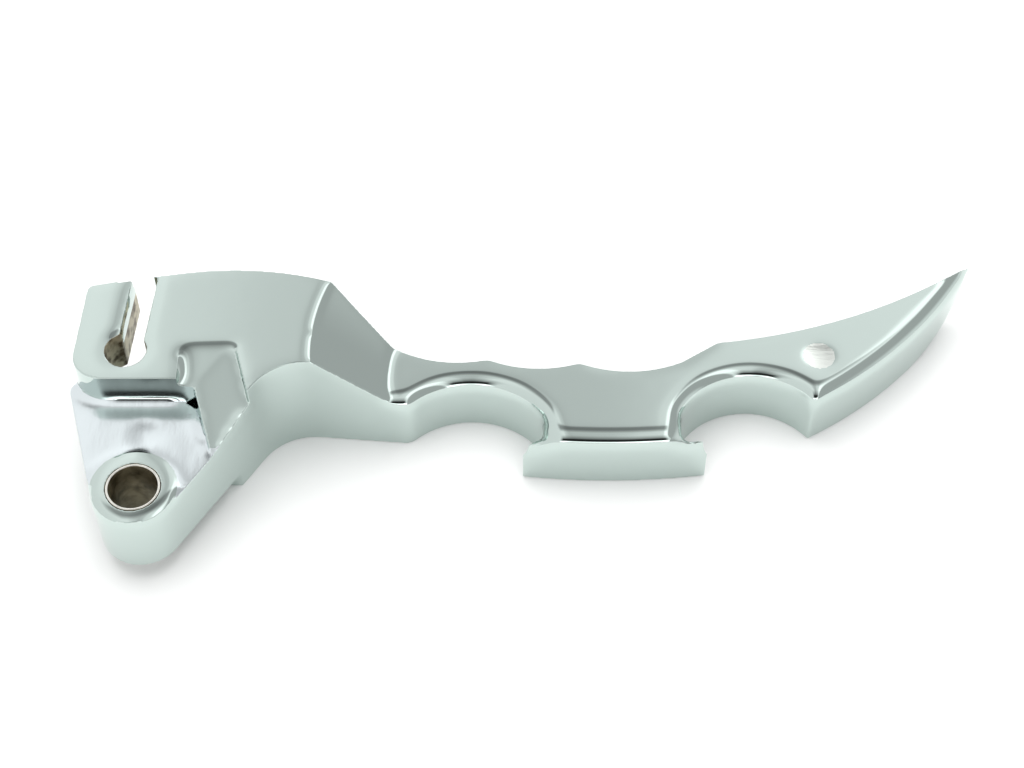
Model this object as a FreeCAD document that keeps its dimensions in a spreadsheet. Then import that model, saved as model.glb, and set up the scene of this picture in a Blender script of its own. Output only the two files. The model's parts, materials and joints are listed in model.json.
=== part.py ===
import FreeCAD, Part
import math
import os
import re
import Sketcher

# A motorcycle clutch lever: one plated casting that turns on a thin bush.
# Frame: the pivot axis is Z through the origin, which lies at the underside of the pivot arm.
# X runs along the blade towards the tip and Y points from the pivot to the cable hole.
# The heights in the sheet count from the lever's lowest face, arm_low under the origin.

V = FreeCAD.Vector

DIMENSIONS = [
    # heights
    ("blade_top", 14.5, "blade thickness"),
    ("head_top", 26.4, "top of the head"),
    ("head_low", 9.0, "where the head block starts inside the blade"),
    ("arm_low", 4.3, "underside of the pivot arm"),
    ("arm_top", 19.1, "floor of the recess, the top of the pivot arm"),
    ("ring_top", 19.8, "top of the raised ring round the pivot bore"),
    ("plate_low", 15.9, "underside of the cable plate"),
    # pivot
    ("boss_rad", 8.4, "pivot boss"),
    ("pin_bore", 9.7, "inside diameter of the bush, for a 9.5 mm pivot bolt"),
    ("bush_wall", 0.5, "wall of the bush"),
    ("bush_gap", 0.03, "radial clearance of the bush in the lever"),
    ("wall_angle", 57.5, "direction of the arm's right wall, tangent to the boss"),
    ("step_run", 21.0, "along that wall from the boss to the step in the underside"),
    # arm and cable plate
    ("heel_x", -16.0, "left corner of the arm"),
    ("heel_y", 26.0, ""),
    ("heel_rad", 2.5, ""),
    ("shelf_y", 23.6, "back end of the arm, under the cable plate"),
    ("plate_left", -13.9, "left side of the cable plate"),
    ("plate_front", 21.2, "front side of the cable plate"),
    ("plate_rad", 6.0, "its rounded front corner"),
    ("jaw_x", -12.9, "back corner of the jaw"),
    ("jaw_y", 44.6, ""),
    ("jaw_rad", 1.6, ""),
    ("mouth_x", -4.6, "where the slot opens"),
    ("mouth_y", 46.3, ""),
    ("cable_x", -3.5, "centre of the cable hole"),
    ("cable_y", 28.3, ""),
    ("cable_bore", 8.25, "hole for an 8 mm cable nipple"),
    ("slot_x", -1.3, "slot centre at its mouth"),
    ("slot_y", 47.0, ""),
    ("slot_width", 4.9, "slot for the cable"),
    ("slot_angle", 4.6, "slot direction from Y"),
    # head
    ("fold_x", 7.3, "left side of the notch, where the plate meets the head"),
    ("fold_y", 29.7, "back of the notch"),
    ("peak_x", 18.0, "back right corner of the notch"),
    ("peak_y", 30.0, ""),
    ("ridge_x", 10.5, "front end of the ridge"),
    ("ridge_y", 20.7, ""),
    ("ridge_z", 24.0, ""),
    ("cheek_run", 13.9, "along the wall to where the ridge's flank meets it"),
    ("lip_run", 26.7, "along the wall to the front right corner of the notch"),
    ("back_x", 7.3, "left end of the head's curved back"),
    ("back_y", 48.1, ""),
    ("back_rad", 67.0, ""),
    ("shoulder_x", 36.9, "back corner where the facet starts"),
    ("shoulder_y", 45.7, ""),
    ("neck_x", 26.4, "front corner between the arm's wall and the neck"),
    ("neck_y", 25.8, ""),
    ("neck_rad", 12.0, ""),
    # facet from the head down to the blade
    ("facet_x", 33.3, "top of the facet"),
    ("facet_y", 29.0, ""),
    ("facet_run", 14.6, "its length along X"),
    ("facet_rad", 68.0, "its hollow"),
    # blade
    ("root_x", 49.4, "back corner where the blade starts"),
    ("root_y", 37.6, ""),
    ("grip_a_x", 68.5, "crest between two finger scallops"),
    ("grip_a_y", 34.9, ""),
    ("grip_b_x", 87.4, "next crest"),
    ("grip_b_y", 34.0, ""),
    ("grip_end_x", 108.5, "end of the last scallop"),
    ("grip_end_y", 34.3, ""),
    ("grip_rad", 25.5, "radius of the finger scallops"),
    ("crest_x", 116.0, "crest before the tip"),
    ("crest_y", 39.2, ""),
    ("tip_x", 173.1, "end of the back curve, just past the point of the tip"),
    ("tip_y", 61.7, ""),
    ("tip_back_rad", 118.0, ""),
    ("tip_front_rad", 95.0, ""),
    ("far_x", 174.5, "stock behind the blade, cut away by the back outline"),
    ("far_y", 66.5, ""),
    ("fang_x", 135.0, "corner between the second cut-out and the tip"),
    ("fang_y", 24.8, ""),
    ("bay_a_x", 52.6, "start of the first cut-out"),
    ("bay_a_y", 23.6, ""),
    ("bay_b_x", 81.2, "end of the first cut-out"),
    ("bay_b_y", 18.6, ""),
    ("bay_rad", 17.6, "first cut-out"),
    ("horn_a_x", 75.4, "left horn of the tab"),
    ("horn_a_y", 15.4, ""),
    ("horn_b_x", 113.3, "right horn of the tab"),
    ("horn_b_y", 15.7, ""),
    ("tab_rad", 150.0, "front of the tab"),
    ("bay_c_x", 106.9, "start of the second cut-out"),
    ("bay_c_y", 19.6, ""),
    ("bay_two_rad", 16.0, "second cut-out"),
    ("crest_round", 3.0, "rounding of the crests"),
    ("bay_round", 3.0, "rounding of the cut-out corners"),
    ("front_round", 2.0, "rounding of the blade's front top edge"),
    ("tip_lift_x", 158.0, "where the underside starts to rise to the tip"),
    ("tip_lift_rad", 12.2, ""),
    # how far the tools and the stock reach past the shape that they cut
    ("past", 1.0, "clearance of a tool past a face"),
    ("root_past", 2.0, "how far the head reaches back over the blade's root"),
    ("facet_length", 200.0, "length of the roller that hollows the facet"),
    # softened edges and casting marks
    ("boss_round", 0.5, "top edge of the pivot boss"),
    ("mark_dia", 6.0, "ejector pin marks"),
    ("mark_deep", 0.25, "their depth"),
    ("mark_a_x", 136.7, "mark near the tip"),
    ("mark_a_y", 35.7, ""),
    ("mark_b_x", 1.0, "mark in the recess"),
    ("mark_b_y", 12.5, ""),
]

NAMES = {alias: f"Sheet.{alias}" for alias, _, _ in DIMENSIONS}

doc = FreeCAD.newDocument("clutch_lever")
sheet = doc.addObject("Spreadsheet::Sheet", "Sheet")
for row, (alias, number, note) in enumerate(DIMENSIONS, start=1):
    sheet.set(f"A{row}", str(number))
    sheet.setAlias(f"A{row}", alias)
    sheet.set(f"B{row}", note)
doc.recompute()


def new_body(label):
    body = doc.addObject("PartDesign::Body", label)
    body.Label = label
    return body


def new_sketch(body, name, role="XY_Plane", height=None):
    """A sketch on one of the body's own origin planes, lifted by a sheet cell."""
    plane = [f for f in body.Origin.OriginFeatures if f.Role == role][0]
    sketch = body.newObject("Sketcher::SketchObject", name)
    sketch.AttachmentSupport = [(plane, "")]
    sketch.MapMode = "FlatFace"
    if height:
        sketch.setExpression("AttachmentOffset.Base.z", f"Sheet.{height}")
    return sketch


def formula(cell):
    """A size as an expression: each alias in it becomes a reference to the sheet."""
    return re.sub(r"[a-z_]+", lambda word: NAMES.get(word[0], word[0]), cell)


def value_of(cell):
    return float(sheet.evalExpression(formula(cell)))


def bind(sketch, kind, where, cell):
    """A driving constraint whose value follows the sheet."""
    sketch.addConstraint(Sketcher.Constraint(kind, *where, value_of(cell)))
    sketch.setExpression(f"Constraints[{sketch.ConstraintCount - 1}]", formula(cell))


def arc_between(start, end, radius, turn):
    """The minor arc from start to end, turning left (+1) or right (-1)."""
    chord = end - start
    half = chord.Length / 2
    side = V(-chord.y, chord.x, 0).normalize() * turn
    centre = start + chord * 0.5 + side * math.sqrt(radius ** 2 - half ** 2)
    first = math.atan2(start.y - centre.y, start.x - centre.x)
    last = math.atan2(end.y - centre.y, end.x - centre.x)
    if turn < 0:
        first, last = last, first
    circle = Part.Circle(centre, V(0, 0, 1), radius)
    return Part.ArcOfCircle(circle, first, last)


def draw_outline(sketch, corners):
    """Close an outline through the corners.

    A corner is (x cell, y cell) when a straight side leaves it, and
    (x cell, y cell, radius cell, turn) when an arc leaves it.
    """
    points = [V(value_of(corner[0]), value_of(corner[1]), 0) for corner in corners]
    starts = []
    ends = []
    for index, corner in enumerate(corners):
        here = points[index]
        there = points[(index + 1) % len(points)]
        if len(corner) == 2:
            edge = sketch.addGeometry(Part.LineSegment(here, there), False)
            starts.append((edge, 1))
            ends.append((edge, 2))
            continue
        arc = arc_between(here, there, value_of(corner[2]), corner[3])
        edge = sketch.addGeometry(arc, False)
        first, last = (1, 2) if corner[3] > 0 else (2, 1)
        starts.append((edge, first))
        ends.append((edge, last))
        bind(sketch, "Radius", (edge,), corner[2])
    for index, corner in enumerate(corners):
        edge_end = ends[index - 1]
        sketch.addConstraint(Sketcher.Constraint("Coincident", *edge_end, *starts[index]))
        bind(sketch, "DistanceX", starts[index], corner[0])
        bind(sketch, "DistanceY", starts[index], corner[1])


def draw_circle(sketch, x_cell, y_cell, radius_cell):
    centre = V(value_of(x_cell), value_of(y_cell), 0)
    circle = Part.Circle(centre, V(0, 0, 1), value_of(radius_cell))
    edge = sketch.addGeometry(circle, False)
    bind(sketch, "DistanceX", (edge, 3), x_cell)
    bind(sketch, "DistanceY", (edge, 3), y_cell)
    bind(sketch, "Radius", (edge,), radius_cell)


def pad(body, name, sketch, length):
    feature = body.newObject("PartDesign::Pad", name)
    feature.Profile = sketch
    feature.setExpression("Length", formula(length))
    doc.recompute()
    return feature


def pocket(body, name, sketch, length, reverse=False):
    """Cut the sketch's region and make sure that it took something away."""
    before = body.Shape.Volume
    feature = body.newObject("PartDesign::Pocket", name)
    feature.Profile = sketch
    feature.Reversed = reverse
    feature.setExpression("Length", formula(length))
    doc.recompute()
    if body.Shape.Volume > before - 1e-3:
        raise RuntimeError(name + " cuts nothing")
    return feature


def edges_where(shape, wanted):
    return [f"Edge{i}" for i, edge in enumerate(shape.Edges, start=1) if wanted(edge)]


def upright_at(spots):
    """Chooses upright edges that stand at one of the spots."""
    def wanted(edge):
        box = edge.BoundBox
        if max(box.XLength, box.YLength) > 0.01 or box.ZLength < 0.1:
            return False
        return any(abs(box.XMin - x) < 0.05 and abs(box.YMin - y) < 0.05 for x, y in spots)
    return wanted


def round_edges(body, name, wanted, radius):
    """A PartDesign fillet on the chosen edges of the body's last feature."""
    base = body.Tip
    chosen = edges_where(base.Shape, wanted)
    if not chosen:
        raise RuntimeError(name + " finds no edges")
    feature = body.newObject("PartDesign::Fillet", name)
    feature.Base = (base, chosen)
    feature.setExpression("Radius", formula(radius))
    doc.recompute()
    if "Invalid" in feature.State:
        raise RuntimeError(name + " does not round")
    return feature


def corner(name):
    """The pair of cells that holds a named point."""
    return (name + "_x", name + "_y")


def spots(*points):
    return [(value_of(point[0]), value_of(point[1])) for point in points]


# The arm's sides are tangent to the pivot boss. The right one runs at wall_angle and carries
# the step in the underside; the left one runs to the heel.
WALL_COS = "cos(wall_angle * 1 deg)"
WALL_SIN = "sin(wall_angle * 1 deg)"
RIGHT_TANGENT = (f"boss_rad * {WALL_SIN}", f"0 - boss_rad * {WALL_COS}")
STEP = (f"{RIGHT_TANGENT[0]} + step_run * {WALL_COS}", f"{RIGHT_TANGENT[1]} + step_run * {WALL_SIN}")
CHEEK = (f"{RIGHT_TANGENT[0]} + cheek_run * {WALL_COS}", f"{RIGHT_TANGENT[1]} + cheek_run * {WALL_SIN}")
LIP = (f"{RIGHT_TANGENT[0]} + lip_run * {WALL_COS}", f"{RIGHT_TANGENT[1]} + lip_run * {WALL_SIN}")
CABLE_SIDE = "cable_x - cable_bore / 2"
HEEL_REACH = "sqrt(heel_x * heel_x + heel_y * heel_y)"
HEEL_SIDE = f"(90 deg + atan((0 - heel_x) / heel_y) - asin(boss_rad / {HEEL_REACH}))"
LEFT_TANGENT = (f"0 - boss_rad * sin({HEEL_SIDE})", f"boss_rad * cos({HEEL_SIDE})")


def is_front_edge(edge):
    """Top edges of the blade slab, apart from the two that the back outline cuts away."""
    box = edge.BoundBox
    on_top = box.ZMin > value_of("blade_top") - 0.01
    stock = box.YMin > value_of("far_y") - 0.01 or box.XMax < value_of("fold_x") + 0.01
    return on_top and not stock


def make_blade():
    """The blade over its whole outline, as a slab with a rounded front edge."""
    body = new_body("blade_block")
    sketch = new_sketch(body, "blade_outline")
    draw_outline(sketch, [
        ("fold_x", STEP[1]),
        STEP,
        corner("neck"),
        corner("bay_a") + ("bay_rad", -1),
        corner("bay_b"),
        corner("horn_a") + ("tab_rad", 1),
        corner("horn_b"),
        corner("bay_c") + ("bay_two_rad", -1),
        corner("fang") + ("tip_front_rad", 1),
        corner("far"),
        ("fold_x", "far_y"),
    ])
    pad(body, "blade_slab", sketch, "blade_top")
    round_edges(body, "neck_blend", upright_at(spots(corner("neck"))), "neck_rad")
    bays = spots(corner("bay_a"), corner("bay_b"), corner("bay_c"))
    round_edges(body, "bay_blend", upright_at(bays), "bay_round")
    round_edges(body, "front_edge", is_front_edge, "front_round")
    back = new_sketch(body, "back_outline", height="blade_top")
    draw_outline(back, [
        corner("tip") + ("tip_back_rad", -1),
        corner("crest"),
        corner("grip_end") + ("grip_rad", -1),
        corner("grip_b") + ("grip_rad", -1),
        corner("grip_a") + ("grip_rad", -1),
        corner("root"),
        corner("shoulder") + ("back_rad", 1),
        corner("back"),
        ("fold_x - past", "back_y"),
        ("fold_x - past", "far_y + past"),
        ("far_x + past", "far_y + past"),
        ("far_x + past", "tip_y"),
    ])
    pocket(body, "back_cut", back, "blade_top")
    crests = spots(corner("crest"), corner("grip_a"), corner("grip_b"))
    round_edges(body, "crest_blend", upright_at(crests), "crest_round")
    lift = new_sketch(body, "tip_underside", role="XZ_Plane")
    draw_outline(lift, [
        ("tip_lift_x", "0"),
        ("tip_lift_x", "0 - past"),
        ("far_x", "0 - past"),
        ("far_x", "tip_lift_rad"),
        ("tip_lift_x + tip_lift_rad", "tip_lift_rad", "tip_lift_rad", -1),
    ])
    pocket(body, "tip_lift", lift, "far_y + past")
    return body


def make_head():
    """The thick head with its hollow facet down to the blade and the notch at its front."""
    body = new_body("head_block")
    sketch = new_sketch(body, "head_outline", height="head_low")
    draw_outline(sketch, [
        ("fold_x", "plate_front"),
        corner("ridge"),
        STEP,
        corner("neck"),
        corner("bay_a"),
        ("bay_a_x", "root_y - root_past"),
        corner("root"),
        corner("shoulder") + ("back_rad", 1),
        corner("back"),
    ])
    pad(body, "head_slab", sketch, "head_top - head_low")
    round_edges(body, "head_neck_blend", upright_at(spots(corner("neck"))), "neck_rad")

    facet = body.newObject("PartDesign::SubtractiveCylinder", "facet")
    facet.setExpression("Radius", formula("facet_rad"))
    facet.setExpression("Height", formula("facet_length"))
    drop = value_of("head_top - blade_top")
    slope = math.degrees(math.atan2(drop, value_of("facet_run")))
    turn = FreeCAD.Rotation(V(0, 1, 0), 90 + slope)
    along = turn.multVec(V(0, 0, 1))
    upward = V(-along.z, 0, along.x)
    top_point = V(value_of("facet_x"), value_of("facet_y"), value_of("head_top"))
    start = top_point + upward * value_of("facet_rad") - along * value_of("facet_length / 2")
    facet.Placement = FreeCAD.Placement(start, turn)
    doc.recompute()

    flank = new_sketch(body, "flank_foot", height="arm_low")
    draw_outline(flank, [
        ("fold_x", "plate_front"),
        corner("ridge"),
        CHEEK,
        LIP,
        (LIP[0], "fold_y"),
        corner("fold"),
    ])
    pad(body, "flank_slab", flank, "head_top - arm_low")
    return body


def slanted_tool(label, low_points):
    """Everything above the plane through three points, inside the notch's plan."""
    first, second, third = low_points
    normal = (second - first).cross(third - first)
    plan = [
        V(value_of("fold_x"), value_of("fold_y"), 0),
        V(value_of("peak_x"), value_of("peak_y"), 0),
        V(value_of(LIP[0]), value_of(LIP[1]), 0),
        V(value_of(LIP[0] + " + past"), 0, 0),
        V(value_of("fold_x"), 0, 0),
    ]
    foot = []
    for point in plan:
        height = first.z - ((point - first).x * normal.x + (point - first).y * normal.y) / normal.z
        foot.append(V(point.x, point.y, height))
    face = Part.Face(Part.makePolygon(foot + foot[:1]))
    tool = doc.addObject("Part::Feature", label)
    tool.Shape = face.extrude(V(0, 0, value_of("head_top")))
    return tool


def make_notch():
    """The ramp behind the ridge and the flank in front of it meet along the ridge line."""
    fold = V(value_of("fold_x"), value_of("fold_y"), value_of("head_top"))
    peak = V(value_of("peak_x"), value_of("peak_y"), value_of("head_top"))
    ridge = V(value_of("ridge_x"), value_of("ridge_y"), value_of("ridge_z"))
    cheek = V(value_of(CHEEK[0]), value_of(CHEEK[1]), value_of("arm_top"))
    return [
        slanted_tool("ramp_tool", [fold, peak, ridge]),
        slanted_tool("flank_tool", [cheek, peak, ridge]),
    ]


def make_arm():
    """The pivot arm, the raised ring round its bore and the cable plate above its far end."""
    body = new_body("arm_block")
    arm = new_sketch(body, "arm_outline", height="arm_low")
    draw_outline(arm, [
        LEFT_TANGENT + ("boss_rad", 1),
        RIGHT_TANGENT,
        STEP,
        ("fold_x + past", "ridge_y"),
        ("fold_x + past", "shelf_y"),
        (CABLE_SIDE, "shelf_y"),
        (CABLE_SIDE, "heel_y"),
        corner("heel"),
    ])
    pad(body, "arm_slab", arm, "arm_top - arm_low")
    round_edges(body, "heel_blend", upright_at(spots(corner("heel"))), "heel_rad")

    plate = new_sketch(body, "plate_outline", height="plate_low")
    draw_outline(plate, [
        ("plate_left", "plate_front + plate_rad", "plate_rad", 1),
        ("plate_left + plate_rad", "plate_front"),
        ("fold_x", "plate_front"),
        corner("back"),
        corner("mouth"),
        corner("jaw"),
    ])
    pad(body, "cable_plate", plate, "head_top - plate_low")
    round_edges(body, "jaw_blend", upright_at(spots(corner("jaw"))), "jaw_rad")

    ring = new_sketch(body, "ring_outline", height="arm_top")
    draw_circle(ring, "0", "0", "boss_rad")
    pad(body, "ring", ring, "ring_top - arm_top")
    round_edges(body, "ring_blend", is_ring_rim, "boss_round")
    return body


def is_ring_rim(edge):
    return edge.BoundBox.ZMin > value_of("ring_top") - 0.01 and edge.BoundBox.YMax < value_of("plate_front")


def bore_tool(label, x_cell, y_cell, radius_cell):
    tool = doc.addObject("Part::Cylinder", label)
    tool.setExpression("Radius", formula(radius_cell))
    tool.setExpression("Height", formula("head_top + 2 * past"))
    tool.setExpression("Placement.Base.x", formula(x_cell))
    tool.setExpression("Placement.Base.y", formula(y_cell))
    tool.setExpression("Placement.Base.z", formula("0 - past"))
    return tool


def slot_tool():
    """A box through the plate, from inside the cable hole out past the back edge."""
    tool = doc.addObject("Part::Box", "slot_tool")
    tool.setExpression("Width", formula("slot_width"))
    tool.setExpression("Height", formula("head_top + 2 * past"))
    tool.setExpression("Length", formula("slot_y - cable_y + 2 * past"))
    turn = FreeCAD.Rotation(V(0, 0, 1), -90 - value_of("slot_angle"))
    mouth = V(value_of("slot_x"), value_of("slot_y"), value_of("0 - past"))
    side = turn.multVec(V(0, 1, 0))
    tool.Placement = FreeCAD.Placement(mouth - side * value_of("slot_width / 2"), turn)
    return tool


def mark_tool(label, point, floor):
    """An ejector pin mark, a shallow disc let into a top face."""
    tool = doc.addObject("Part::Cylinder", label)
    tool.setExpression("Radius", formula("mark_dia / 2"))
    tool.setExpression("Height", formula("past"))
    tool.setExpression("Placement.Base.x", formula(point[0]))
    tool.setExpression("Placement.Base.y", formula(point[1]))
    tool.setExpression("Placement.Base.z", formula(f"{floor} - mark_deep"))
    return tool


def make_lever():
    blocks = [make_blade(), make_head(), make_arm()]
    doc.recompute()
    head = doc.addObject("Part::MultiFuse", "notch_tools")
    head.Shapes = make_notch()
    notched = doc.addObject("Part::Cut", "notched_head")
    notched.Base = blocks[1]
    notched.Tool = head
    whole = doc.addObject("Part::MultiFuse", "whole_casting")
    whole.Shapes = [blocks[0], notched, blocks[2]]
    whole.Refine = True
    cutters = doc.addObject("Part::MultiFuse", "cutters")
    cutters.Shapes = [
        bore_tool("pivot_tool", "0", "0", "pin_bore / 2 + bush_wall + bush_gap"),
        bore_tool("cable_tool", "cable_x", "cable_y", "cable_bore / 2"),
        slot_tool(),
        mark_tool("tip_mark", corner("mark_a"), "blade_top"),
        mark_tool("recess_mark", corner("mark_b"), "arm_top"),
    ]
    lever = doc.addObject("Part::Cut", "lever")
    lever.Base = whole
    lever.Tool = cutters
    lever.Label = "lever"
    lever.setExpression("Placement.Base.z", formula("0 - arm_low"))
    doc.recompute()
    return lever


def make_bush():
    """A thin bush that lines the pivot bore over the full height of the boss."""
    body = new_body("pivot_bush")
    sketch = new_sketch(body, "bush_section", height="arm_low")
    draw_circle(sketch, "0", "0", "pin_bore / 2")
    draw_circle(sketch, "0", "0", "pin_bore / 2 + bush_wall")
    pad(body, "bush_wall_pad", sketch, "ring_top - arm_low")
    body.setExpression("Placement.Base.z", formula("0 - arm_low"))
    return body


def check(parts):
    for thing in doc.Objects:
        if "Invalid" in thing.State or "Error" in thing.State:
            raise RuntimeError(f"{thing.Label}: {thing.State}")
    for node in parts:
        if node.Shape.isNull() or not node.Shape.isValid():
            raise RuntimeError(node.Label + " has no valid shape")


nodes = [make_lever(), make_bush()]
doc.recompute()
check(nodes)
os.makedirs("parts", exist_ok=True)
for node in nodes:
    node.Shape.exportStep(f"parts/{node.Label}.step")
    box = node.Shape.BoundBox
    print(node.Label, len(node.Shape.Solids), round(node.Shape.Volume), box)
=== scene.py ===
"""Chrome clutch lever on a white table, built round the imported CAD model."""
import json
import math

import bmesh
import bpy
import numpy as np
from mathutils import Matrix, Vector


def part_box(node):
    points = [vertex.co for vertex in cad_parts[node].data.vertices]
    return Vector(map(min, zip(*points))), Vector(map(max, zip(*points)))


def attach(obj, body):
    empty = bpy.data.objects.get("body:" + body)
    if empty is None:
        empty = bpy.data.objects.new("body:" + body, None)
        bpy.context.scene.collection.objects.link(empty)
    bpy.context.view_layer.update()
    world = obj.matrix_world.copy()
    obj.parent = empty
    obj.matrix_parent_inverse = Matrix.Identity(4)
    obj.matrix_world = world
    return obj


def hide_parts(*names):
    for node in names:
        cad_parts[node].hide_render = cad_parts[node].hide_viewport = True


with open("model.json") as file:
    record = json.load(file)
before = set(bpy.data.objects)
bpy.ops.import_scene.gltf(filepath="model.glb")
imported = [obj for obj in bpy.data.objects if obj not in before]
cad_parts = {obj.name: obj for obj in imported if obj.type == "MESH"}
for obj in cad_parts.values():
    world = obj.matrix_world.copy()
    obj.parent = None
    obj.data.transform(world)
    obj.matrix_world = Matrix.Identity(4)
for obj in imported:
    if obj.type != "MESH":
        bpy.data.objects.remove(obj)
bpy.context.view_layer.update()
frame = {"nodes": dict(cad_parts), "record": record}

MM = 0.001
LEVER_LOW, LEVER_HIGH = (Vector(corner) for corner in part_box("lever"))
MIDDLE = (LEVER_LOW + LEVER_HIGH) / 2
MOUNTS = {mount["name"]: mount for mount in frame["record"]["mounts"]}
BORE = MOUNTS["pivot_bore"]
CABLE = MOUNTS["cable_hole"]

# Heights and places that part.py gives the casting, in metres.
BLADE_TOP = LEVER_LOW.z + 14.5 * MM
RECESS_FLOOR = LEVER_LOW.z + 19.1 * MM
MARK_RADIUS = 3.0 * MM
TIP_MARK = Vector((136.7 * MM, 35.7 * MM, BLADE_TOP - 0.25 * MM))

# The skin: its grid, and how many rounds of smoothing each region gets.
SKIN_CELL = 0.25 * MM
WELD = 0.002 * MM
EDGE_ROUNDS, FRONT_ROUNDS, HORN_ROUNDS, RECESS_ROUNDS, NORMAL_ROUNDS = 4, 60, 260, 70, 60
NORMAL_LIMIT = math.radians(16)

# The zones of the casting, in the order of its material slots.
CHROME, THIN_PLATING, RECESS, MARK = range(4)

# Brightness of the room by degrees from the far horizon, over the top, to the near horizon.
# It was set so that the polish shows the dark and bright bands of a real room.
ROOM = [
    (20, 1.0), (44, 1.0), (56, 0.93), (61, 0.88), (64, 0.34), (70, 0.30), (75, 0.50), (84, 0.92),
    (104, 0.92), (120, 0.60), (136, 0.30), (143, 0.03), (163, 0.02), (168, 2.4), (174, 2.4),
    (178, 1.1),
]
# The same from left to right, by the sideways part of the direction.
SIDES = [
    (-0.55, 1.15), (-0.20, 1.25), (-0.15, 1.05), (-0.11, 0.93), (-0.04, 0.76), (0.04, 0.82),
    (0.11, 1.12), (0.20, 1.18), (0.28, 1.9), (0.36, 1.9), (0.44, 0.62), (0.80, 0.62),
]
SIDES_BEYOND = 1.12            # brightness past the two ends of that list
BANDS_FADE = (0.27, 0.42)      # sideways part over which the room's bands give way
OPEN_ROOM = 0.9                # to this even brightness


# ---------------------------------------------------------------- materials

def new_material(name):
    material = bpy.data.materials.new(name)
    material.use_nodes = True
    nodes = material.node_tree.nodes
    return material, nodes, material.node_tree.links, nodes["Principled BSDF"]


def add_noise(nodes, links, scale, detail, stretch=(1, 1, 1)):
    """Noise in the object's own metres, so it stays put when the part moves."""
    place = nodes.new("ShaderNodeTexCoord")
    mapping = nodes.new("ShaderNodeMapping")
    mapping.inputs["Scale"].default_value = stretch
    noise = nodes.new("ShaderNodeTexNoise")
    noise.inputs["Scale"].default_value = scale
    noise.inputs["Detail"].default_value = detail
    links.new(place.outputs["Object"], mapping.inputs["Vector"])
    links.new(mapping.outputs["Vector"], noise.inputs["Vector"])
    return noise


def add_bump(nodes, links, shader, noise, strength, height):
    bump = nodes.new("ShaderNodeBump")
    bump.inputs["Strength"].default_value = strength
    bump.inputs["Distance"].default_value = height
    links.new(noise.outputs["Fac"], bump.inputs["Height"])
    links.new(bump.outputs["Normal"], shader.inputs["Normal"])


def blend_colour(nodes, links, shader, noise, dark, light, low=0.4, high=0.6):
    ramp = nodes.new("ShaderNodeValToRGB")
    ramp.color_ramp.elements[0].position = low
    ramp.color_ramp.elements[0].color = (*dark, 1)
    ramp.color_ramp.elements[1].position = high
    ramp.color_ramp.elements[1].color = (*light, 1)
    links.new(noise.outputs["Fac"], ramp.inputs["Fac"])
    links.new(ramp.outputs["Color"], shader.inputs["Base Color"])


def plated_chrome():
    """Polished plating over a casting that isn't quite flat."""
    material, nodes, links, shader = new_material("plated_chrome")
    shader.inputs["Metallic"].default_value = 1.0
    shader.inputs["Base Color"].default_value = (0.55, 0.635, 0.605, 1)
    shader.inputs["Roughness"].default_value = 0.07
    ripple = add_noise(nodes, links, 90, 2)
    add_bump(nodes, links, shader, ripple, 0.10, 0.2 * MM)
    return material


def plated_recess():
    """The floor of the recess, plated over the marks of the die."""
    material, nodes, links, shader = new_material("plated_recess")
    shader.inputs["Metallic"].default_value = 1.0
    shader.inputs["Base Color"].default_value = (0.72, 0.78, 0.80, 1)
    shader.inputs["Roughness"].default_value = 0.16
    drag = add_noise(nodes, links, 260, 5, (1.0, 0.35, 1.0))
    add_bump(nodes, links, shader, drag, 0.35, 0.25 * MM)
    return material


def ejector_mark():
    material, nodes, links, shader = new_material("ejector_mark")
    shader.inputs["Metallic"].default_value = 1.0
    shader.inputs["Base Color"].default_value = (0.80, 0.84, 0.80, 1)
    shader.inputs["Roughness"].default_value = 0.24
    grain = add_noise(nodes, links, 900, 4, (0.25, 1.0, 1.0))
    add_bump(nodes, links, shader, grain, 0.5, 0.15 * MM)
    return material


def thin_plating():
    """Bore and slot walls, where the plating is thin and stained."""
    material, nodes, links, shader = new_material("thin_plating")
    shader.inputs["Metallic"].default_value = 0.75
    shader.inputs["Roughness"].default_value = 0.42
    stain = add_noise(nodes, links, 420, 8)
    blend_colour(nodes, links, shader, stain, (0.10, 0.07, 0.035), (0.55, 0.50, 0.38), 0.36, 0.56)
    add_bump(nodes, links, shader, stain, 0.5, 0.2 * MM)
    return material


def bush_bronze():
    """The stained inside of the bush."""
    material, nodes, links, shader = new_material("bush_bronze")
    shader.inputs["Metallic"].default_value = 0.8
    shader.inputs["Roughness"].default_value = 0.38
    stain = add_noise(nodes, links, 300, 6)
    blend_colour(nodes, links, shader, stain, (0.11, 0.09, 0.05), (0.30, 0.26, 0.17))
    add_bump(nodes, links, shader, stain, 0.3, 0.1 * MM)
    return material


def bush_rim():
    """The bright ends of the bush."""
    material, nodes, links, shader = new_material("bush_rim")
    shader.inputs["Metallic"].default_value = 1.0
    shader.inputs["Base Color"].default_value = (0.85, 0.84, 0.78, 1)
    shader.inputs["Roughness"].default_value = 0.2
    return material


# ---------------------------------------------------------------- meshes

def copy_of_node(node, name):
    """A loose copy of a CAD node's mesh, welded into one closed skin."""
    skin = bpy.data.objects.new(name, frame["nodes"][node].data.copy())
    bpy.context.scene.collection.objects.link(skin)
    skin.matrix_world = frame["nodes"][node].matrix_world.copy()
    mesh = bmesh.new()
    mesh.from_mesh(skin.data)
    bmesh.ops.remove_doubles(mesh, verts=mesh.verts, dist=WELD)
    mesh.to_mesh(skin.data)
    mesh.free()
    return skin


def remesh(skin, cell):
    """Rebuild the skin from small even quads."""
    grid = skin.modifiers.new("even_grid", "REMESH")
    grid.mode = "VOXEL"
    grid.voxel_size = cell
    graph = bpy.context.evaluated_depsgraph_get()
    skin.data = bpy.data.meshes.new_from_object(skin.evaluated_get(graph), depsgraph=graph)
    skin.modifiers.clear()


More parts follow.
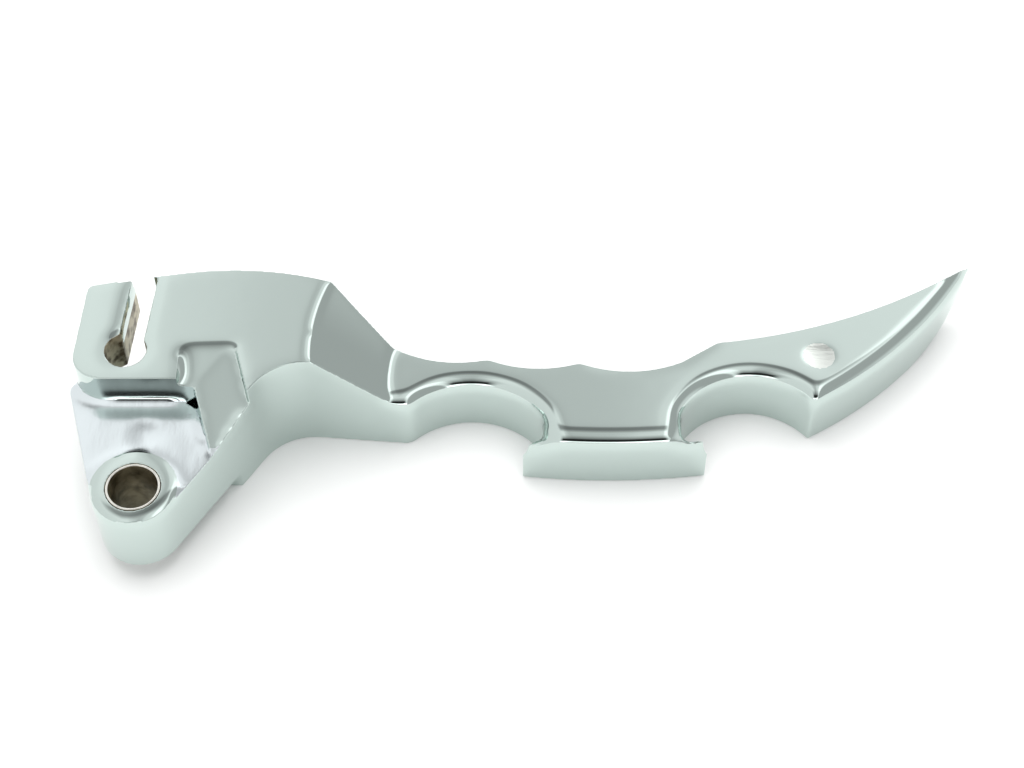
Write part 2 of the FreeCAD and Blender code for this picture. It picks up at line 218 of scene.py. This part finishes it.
class Surface:
    """A mesh's points, normals and edges as arrays."""

    def __init__(self, mesh):
        count = len(mesh.vertices)
        self.points = np.empty((count, 3))
        mesh.vertices.foreach_get("co", self.points.ravel())
        pairs = np.empty((len(mesh.edges), 2), dtype=int)
        mesh.edges.foreach_get("vertices", pairs.ravel())
        self.start, self.end = pairs.T
        self.count = count

    def neighbours(self, values, weight):
        """For each point, the weighted sum of its neighbours' values."""
        sums = [
            np.bincount(self.start, weight * column[self.end], self.count)
            + np.bincount(self.end, weight * column[self.start], self.count)
            for column in values.T
        ]
        return np.stack(sums, axis=1)

    def relax(self, steps, wear, normals=None):
        """Move each point, as far as wear lets it, towards its neighbours' middle.

        With normals, only hollow corners fill, as they do under polish and plating.
        """
        live = (wear[self.start] > 0) | (wear[self.end] > 0)
        used, places = np.unique(np.r_[self.start[live], self.end[live]], return_inverse=True)
        start, end = places.reshape(2, -1)
        degree = np.bincount(places, minlength=len(used))[:, None]
        share = 0.5 * wear[used][:, None]
        points = self.points[used]
        for _ in range(steps):
            sums = [
                np.bincount(start, column[end], len(used)) + np.bincount(end, column[start], len(used))
                for column in points.T
            ]
            shift = share * (np.stack(sums, axis=1) / degree - points)
            if normals is not None:
                shift *= np.einsum("ij,ij->i", shift, normals[used])[:, None] > 0
            points = points + shift
        self.points[used] = points

    def even_normals(self, normals, steps, limit):
        """Smooth the normals, except across edges sharper than the limit."""
        floor = math.cos(limit)
        for _ in range(steps):
            alike = np.einsum("ij,ij->i", normals[self.start], normals[self.end])
            weight = np.clip((alike - floor) / (1 - floor), 0, 1)
            normals = normals + self.neighbours(normals, weight)
            normals /= np.linalg.norm(normals, axis=1)[:, None]
        return normals


def normals_of(mesh):
    normals = np.empty((len(mesh.vertices), 3))
    mesh.vertex_normals.foreach_get("vector", normals.ravel())
    return normals


def put_points(mesh, points):
    mesh.vertices.foreach_set("co", points.ravel())
    mesh.update()


def paint(skin, materials, choose):
    """Give each face the material whose number choose() returns."""
    skin.data.materials.clear()
    for material in materials:
        skin.data.materials.append(material)
    for face in skin.data.polygons:
        face.material_index = choose(face)


def in_bore(centre, normal, mount, slack):
    """Whether a face lies on the wall of a mount's hole."""
    away = Vector((centre.x - mount["pos_m"][0], centre.y - mount["pos_m"][1]))
    reach = (mount["dims"]["r_mm"] + slack) * MM
    return away.length < reach and normal.xy.dot(away) < 0


def lever_zone(face):
    """The zone of the casting that a face belongs to."""
    centre, normal = face.center, face.normal
    if (centre - TIP_MARK).length < MARK_RADIUS + SKIN_CELL:
        return MARK
    if abs(normal.z) < 0.6:
        if in_bore(centre, normal, BORE, 1.0):
            return THIN_PLATING
        if in_bore(centre, normal, CABLE, 0.6):
            return THIN_PLATING
        slot_reach = 6 * MM
        in_slot = abs(centre.x - CABLE["pos_m"][0]) < slot_reach and centre.y > CABLE["pos_m"][1]
        stain_top = BLADE_TOP + 8 * MM
        if in_slot and abs(normal.x) > 0.85 and centre.z < stain_top:
            return THIN_PLATING
    recess_right, ring_foot = 16 * MM, 8.6 * MM
    on_floor = abs(centre.z - RECESS_FLOOR) < 0.6 * MM and centre.x < recess_right
    if on_floor and normal.z > 0.5 and centre.xy.length > ring_foot:
        return RECESS
    return CHROME


def worn_regions(points):
    """How far each point may move, from 0 to 1: front edges, the tab's horns, and the recess.

    All numbers here are millimetres in the frame.
    """
    x, y, z = (points / MM).T
    blade = (x > 46) & (z > 5.5) & (z < 10.6)
    line_x = [46, 60, 76, 81, 107, 112, 135, 150, 160, 171]
    line_y = [30, 33, 31, 25, 25, 31, 33, 44, 52, 61]
    edge_line = np.interp(x, line_x, line_y)
    front = np.clip((edge_line - y) / 4, 0, 1) * blade
    from_pivot = np.hypot(x, y)
    boss = (from_pivot > 6.6) & (from_pivot < 9.6) & (z > 13.6) & (y < 7.5)
    jaw = (x > -7.2) & (x < -1.9) & (y > 31) & (z > 19.6)
    recess = (x < 13) & (y > 8) & (y < 30) & (z > 12) & (z < 23)
    horns = np.zeros(len(points))
    for horn_x, horn_y in ((78.6, 16.6), (109.6, 17.2)):
        away = np.hypot(x - horn_x, y - horn_y)
        near = np.clip((4.4 - away) / 1.2, 0, 1) * np.clip((z - 3.5) / 2, 0, 1)
        horns = np.maximum(horns, near)
    return np.maximum(front, 0.5 * (boss | jaw)), horns, recess.astype(float)


def stand_for(skin, node, body):
    """The skin takes the place of a CAD node on its body."""
    for face in skin.data.polygons:
        face.use_smooth = True
    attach(skin, body)
    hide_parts(node)


def make_lever():
    """The casting, re-meshed and worn soft at its edges."""
    skin = copy_of_node("lever", "lever_casting")
    remesh(skin, SKIN_CELL)
    surface = Surface(skin.data)
    surface.relax(EDGE_ROUNDS, np.ones(surface.count))
    put_points(skin.data, surface.points)
    front, horns, recess = worn_regions(surface.points)
    surface.relax(FRONT_ROUNDS, front)
    surface.relax(HORN_ROUNDS, horns)
    surface.relax(RECESS_ROUNDS, recess, normals_of(skin.data))
    put_points(skin.data, surface.points)
    normals = surface.even_normals(normals_of(skin.data), NORMAL_ROUNDS, NORMAL_LIMIT)
    zones = [plated_chrome(), thin_plating(), plated_recess(), ejector_mark()]
    paint(skin, zones, lever_zone)
    stand_for(skin, "lever", "lever")
    skin.data.normals_split_custom_set_from_vertices(normals.tolist())


def bush_zone(face):
    """1 for the bright ends, 0 for the walls."""
    return 1 if abs(face.normal.z) > 0.5 else 0


def make_bush():
    """The bush, with fine bevels at its ends."""
    skin = copy_of_node("pivot_bush", "pivot_bush_shell")
    paint(skin, [bush_bronze(), bush_rim()], bush_zone)
    bevel = skin.modifiers.new("soft_edges", "BEVEL")
    bevel.width = 0.1 * MM
    bevel.segments = 2
    bevel.limit_method = "ANGLE"
    bevel.angle_limit = math.radians(40)
    bevel.harden_normals = True
    stand_for(skin, "pivot_bush", "bush")


# ---------------------------------------------------------------- stage

def table_white():
    """Matt white board."""
    material, _, _, shader = new_material("table_white")
    shader.inputs["Base Color"].default_value = (0.93, 0.935, 0.93, 1)
    shader.inputs["Roughness"].default_value = 0.6
    return material


def make_floor():
    """A table many times the lever's length, just under it."""
    half = 20 * (LEVER_HIGH.x - LEVER_LOW.x)
    mesh = bpy.data.meshes.new("table")
    corners = [(-half, -half, 0), (half, -half, 0), (half, half, 0), (-half, half, 0)]
    mesh.from_pydata(corners, [], [(0, 1, 2, 3)])
    table = bpy.data.objects.new("table", mesh)
    table.data.materials.append(table_white())
    table.location = (MIDDLE.x, MIDDLE.y, LEVER_LOW.z - 0.02 * MM)
    bpy.context.scene.collection.objects.link(table)


def add_math(nodes, operation, *constants):
    """A Math node whose inputs after the first hold the constants."""
    node = nodes.new("ShaderNodeMath")
    node.operation = operation
    for socket, constant in zip(node.inputs[1:], constants):
        socket.default_value = constant
    return node


def add_ramp(nodes, stops, ends):
    """A ramp of greys, with one brightness past both ends."""
    node = nodes.new("ShaderNodeValToRGB")
    for element in node.color_ramp.elements:
        element.color = (ends, ends, ends, 1)
    for place, shade in stops:
        node.color_ramp.elements.new(place).color = (shade, shade, shade, 1)
    return node


def add_mix(nodes, blend):
    node = nodes.new("ShaderNodeMix")
    node.data_type = "RGBA"
    node.blend_type = blend
    return node


def make_light():
    """White surroundings with the dim parts of the room that the polish picks up."""
    world = bpy.data.worlds.new("studio")
    world.use_nodes = True
    nodes, links = world.node_tree.nodes, world.node_tree.links
    place = nodes.new("ShaderNodeTexCoord")
    split = nodes.new("ShaderNodeSeparateXYZ")
    links.new(place.outputs["Generated"], split.inputs["Vector"])

    angle = add_math(nodes, "ARCTAN2")
    links.new(split.outputs["Z"], angle.inputs[0])
    links.new(split.outputs["Y"], angle.inputs[1])
    share = add_math(nodes, "DIVIDE", math.pi)
    links.new(angle.outputs[0], share.inputs[0])
    room = add_ramp(nodes, [(degrees / 180, shade) for degrees, shade in ROOM], 1)
    links.new(share.outputs[0], room.inputs["Fac"])

    across = add_math(nodes, "MULTIPLY_ADD", 0.5, 0.5)
    links.new(split.outputs["X"], across.inputs[0])
    sides = add_ramp(nodes, [((aside + 1) / 2, shade) for aside, shade in SIDES], SIDES_BEYOND)
    sides.color_ramp.interpolation = "EASE"
    links.new(across.outputs[0], sides.inputs["Fac"])

    aside = add_math(nodes, "ABSOLUTE")
    links.new(split.outputs["X"], aside.inputs[0])
    fade = nodes.new("ShaderNodeMapRange")
    fade.inputs["From Min"].default_value = BANDS_FADE[0]
    fade.inputs["From Max"].default_value = BANDS_FADE[1]
    links.new(aside.outputs[0], fade.inputs["Value"])
    bands = add_mix(nodes, "MIX")
    bands.inputs[7].default_value = (OPEN_ROOM, OPEN_ROOM, OPEN_ROOM, 1)
    links.new(fade.outputs["Result"], bands.inputs["Factor"])
    links.new(room.outputs["Color"], bands.inputs[6])

    whole = add_mix(nodes, "MULTIPLY")
    whole.inputs["Factor"].default_value = 1.0
    links.new(bands.outputs[2], whole.inputs[6])
    links.new(sides.outputs["Color"], whole.inputs[7])
    links.new(whole.outputs[2], nodes["Background"].inputs["Color"])
    nodes["Background"].inputs["Strength"].default_value = 1.0
    bpy.context.scene.world = world
    bpy.context.scene.view_settings.view_transform = "Standard"

    add_softbox("softbox_back", (0.05, 0.35, 0.9), 7)
    add_softbox("softbox_front", (0.0, -0.9, 0.55), 2)


def add_softbox(name, place, power):
    """A wide soft lamp aimed at the lever, which the polish itself doesn't show."""
    light = bpy.data.lights.new(name, "AREA")
    light.shape = "RECTANGLE"
    light.size = 1.2
    light.size_y = 0.9
    light.energy = power
    softbox = bpy.data.objects.new(name, light)
    bpy.context.scene.collection.objects.link(softbox)
    softbox.location = place
    aim = (Vector((0.08, 0.02, 0)) - softbox.location).to_track_quat("-Z", "Y")
    softbox.rotation_euler = aim.to_euler()
    softbox.visible_glossy = False


def make_camera():
    """Looks down at the table from the pivot side of the blade."""
    pitch = math.radians(54)
    distance = 0.4417
    target = Vector((0.0735, 0.0390, LEVER_LOW.z))
    camera = bpy.data.objects.new("camera", bpy.data.cameras.new("camera"))
    camera.data.sensor_width = 36
    camera.data.lens = 73.1
    camera.data.clip_start = 0.01
    camera.location = target + distance * Vector((0, -math.cos(pitch), math.sin(pitch)))
    camera.rotation_euler = (math.pi / 2 - pitch, 0, 0)
    bpy.context.scene.collection.objects.link(camera)
    bpy.context.scene.camera = camera


make_lever()
make_bush()
make_floor()
make_light()
make_camera()
